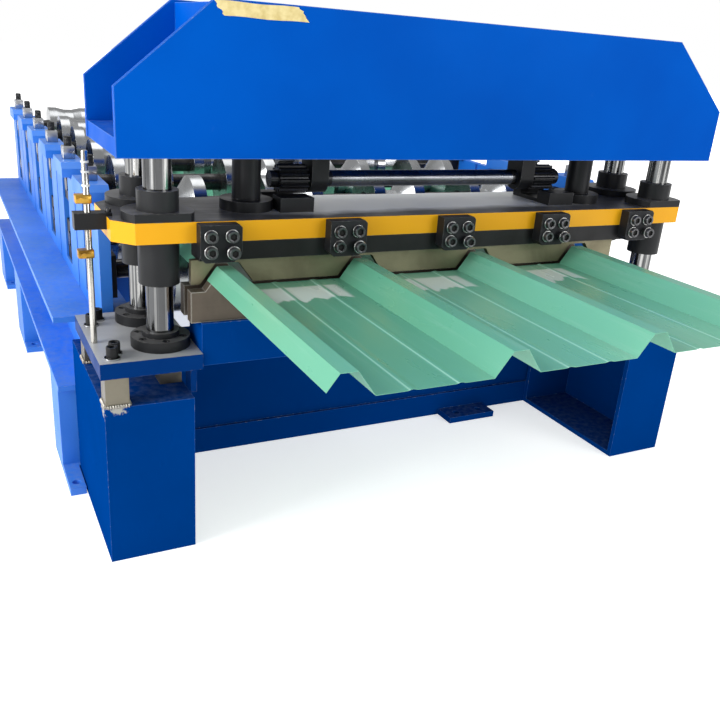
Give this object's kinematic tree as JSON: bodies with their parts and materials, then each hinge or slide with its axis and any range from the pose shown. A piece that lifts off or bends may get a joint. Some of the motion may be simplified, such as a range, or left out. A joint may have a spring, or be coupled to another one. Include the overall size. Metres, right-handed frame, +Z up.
{
  "type": "roll forming machine",
  "caption": "Roll forming machine for trapezoidal roofing sheet: hydraulic cut-off shear with guided platen at the exit, forming rolls in stands behind it.",
  "frame": {"origin": "on the floor, on the machine's centre line, under the middle of the bed's front cross beam", "axes": "+X to the right seen from the exit end, +Y upstream into the machine, +Z up"},
  "size_m": [1.802, 3.1055, 1.21],
  "materials": {
    "bed_paint": "semi-gloss machine enamel, light blue",
    "hood_paint": "semi-gloss machine enamel, deep blue",
    "base_plate_steel": "ground grey top, blue painted edges",
    "bare_steel": "sawn bare steel",
    "chrome_posts": "polished hard chrome",
    "black_oxide": "black oxide, lightly oiled",
    "greased_steel": "cut steel with grease",
    "blade_steel": "hardened tool steel, brownish",
    "green_sheet": "prepainted glossy sheet",
    "polished_steel": "polished rod",
    "platen_steel": "ground grey faces, yellow painted edge",
    "roll_chrome": "plated rolls on dark shafts"
  },
  "bodies": {
    "frame": {"left_bed_beam": "bed_paint", "right_bed_beam": "bed_paint", "front_cross_beam": "bed_paint", "bed_cross_ties": "bed_paint", "left_bed_feet": "bed_paint", "right_bed_feet": "bed_paint", "left_leg": "hood_paint", "right_leg": "hood_paint", "packing_blocks": "bare_steel", "left_base_plate": "base_plate_steel", "right_base_plate": "base_plate_steel", "guide_posts": "chrome_posts", "post_flanges": "black_oxide", "hood_front_plate": "hood_paint", "hood_rear_plate": "hood_paint", "hood_bottom_plate": "hood_paint", "hood_ribs": "hood_paint", "cylinders": "black_oxide", "shaft_hangers": "black_oxide", "die_beam": "blade_steel", "lower_blade_front": "blade_steel", "lower_blade_rear": "blade_steel", "formed_panel": "green_sheet", "strip_in_rolls": "green_sheet", "left_stands": "bed_paint", "right_stands": "bed_paint", "bearing_blocks": "black_oxide", "stand_caps": "bed_paint", "adjusting_screws": "black_oxide", "switch_rod": "polished_steel"},
    "platen": {"platen": "platen_steel", "guide_bushes": "black_oxide", "blade_bar": "black_oxide", "blade_clamps": "black_oxide", "clamp_screws": "black_oxide", "upper_blade": "blade_steel", "cylinder_rods": "black_oxide", "gear_racks": "greased_steel", "switch_bracket": "black_oxide"},
    "sync_shaft": {"sync_shaft": "black_oxide"},
    "bottom_roll_1": {"bottom_roll_1": "roll_chrome"},
    "top_roll_1": {"top_roll_1": "roll_chrome"},
    "bottom_roll_2": {"bottom_roll_2": "roll_chrome"},
    "top_roll_2": {"top_roll_2": "roll_chrome"},
    "bottom_roll_3": {"bottom_roll_3": "roll_chrome"},
    "top_roll_3": {"top_roll_3": "roll_chrome"},
    "bottom_roll_4": {"bottom_roll_4": "roll_chrome"},
    "top_roll_4": {"top_roll_4": "roll_chrome"},
    "bottom_roll_5": {"bottom_roll_5": "roll_chrome"},
    "top_roll_5": {"top_roll_5": "roll_chrome"},
    "bottom_roll_6": {"bottom_roll_6": "roll_chrome"},
    "top_roll_6": {"top_roll_6": "roll_chrome"}
  },
  "joints": [
    {"name": "platen_slide", "type": "slide", "parent": "frame", "child": "platen", "axis": [0, 0, 1], "range_m": [-0.009, 0.012]},
    {"name": "sync_spin", "type": "hinge", "parent": "frame", "child": "sync_shaft", "pos_m": [0, -0.286, 0.838], "axis": [1, 0, 0], "range_deg": [-19.2, 23]},
    {"name": "bottom_roll_spin_1", "type": "hinge", "parent": "frame", "child": "bottom_roll_1", "pos_m": [0, 0.039, 0.5482], "axis": [1, 0, 0], "continuous": true},
    {"name": "top_roll_spin_1", "type": "hinge", "parent": "frame", "child": "top_roll_1", "pos_m": [0, 0.039, 0.7108], "axis": [1, 0, 0], "continuous": true},
    {"name": "bottom_roll_spin_2", "type": "hinge", "parent": "frame", "child": "bottom_roll_2", "pos_m": [0, 0.394, 0.5482], "axis": [1, 0, 0], "continuous": true},
    {"name": "top_roll_spin_2", "type": "hinge", "parent": "frame", "child": "top_roll_2", "pos_m": [0, 0.394, 0.7108], "axis": [1, 0, 0], "continuous": true},
    {"name": "bottom_roll_spin_3", "type": "hinge", "parent": "frame", "child": "bottom_roll_3", "pos_m": [0, 0.749, 0.5482], "axis": [1, 0, 0], "continuous": true},
    {"name": "top_roll_spin_3", "type": "hinge", "parent": "frame", "child": "top_roll_3", "pos_m": [0, 0.749, 0.7108], "axis": [1, 0, 0], "continuous": true},
    {"name": "bottom_roll_spin_4", "type": "hinge", "parent": "frame", "child": "bottom_roll_4", "pos_m": [0, 1.104, 0.5482], "axis": [1, 0, 0], "continuous": true},
    {"name": "top_roll_spin_4", "type": "hinge", "parent": "frame", "child": "top_roll_4", "pos_m": [0, 1.104, 0.7108], "axis": [1, 0, 0], "continuous": true},
    {"name": "bottom_roll_spin_5", "type": "hinge", "parent": "frame", "child": "bottom_roll_5", "pos_m": [0, 1.459, 0.5482], "axis": [1, 0, 0], "continuous": true},
    {"name": "top_roll_spin_5", "type": "hinge", "parent": "frame", "child": "top_roll_5", "pos_m": [0, 1.459, 0.7108], "axis": [1, 0, 0], "continuous": true},
    {"name": "bottom_roll_spin_6", "type": "hinge", "parent": "frame", "child": "bottom_roll_6", "pos_m": [0, 1.814, 0.5482], "axis": [1, 0, 0], "continuous": true},
    {"name": "top_roll_spin_6", "type": "hinge", "parent": "frame", "child": "top_roll_6", "pos_m": [0, 1.814, 0.7108], "axis": [1, 0, 0], "continuous": true}
  ],
  "couplings": [
    {"joint": "sync_spin", "follows": "platen_slide", "rad_per_m": 33.333},
    {"joint": "top_roll_spin_1", "follows": "bottom_roll_spin_1", "ratio": -1},
    {"joint": "bottom_roll_spin_2", "follows": "bottom_roll_spin_1", "ratio": 1},
    {"joint": "top_roll_spin_2", "follows": "bottom_roll_spin_1", "ratio": -1},
    {"joint": "bottom_roll_spin_3", "follows": "bottom_roll_spin_1", "ratio": 1},
    {"joint": "top_roll_spin_3", "follows": "bottom_roll_spin_1", "ratio": -1},
    {"joint": "bottom_roll_spin_4", "follows": "bottom_roll_spin_1", "ratio": 1},
    {"joint": "top_roll_spin_4", "follows": "bottom_roll_spin_1", "ratio": -1},
    {"joint": "bottom_roll_spin_5", "follows": "bottom_roll_spin_1", "ratio": 1},
    {"joint": "top_roll_spin_5", "follows": "bottom_roll_spin_1", "ratio": -1},
    {"joint": "bottom_roll_spin_6", "follows": "bottom_roll_spin_1", "ratio": 1},
    {"joint": "top_roll_spin_6", "follows": "bottom_roll_spin_1", "ratio": -1}
  ]
}
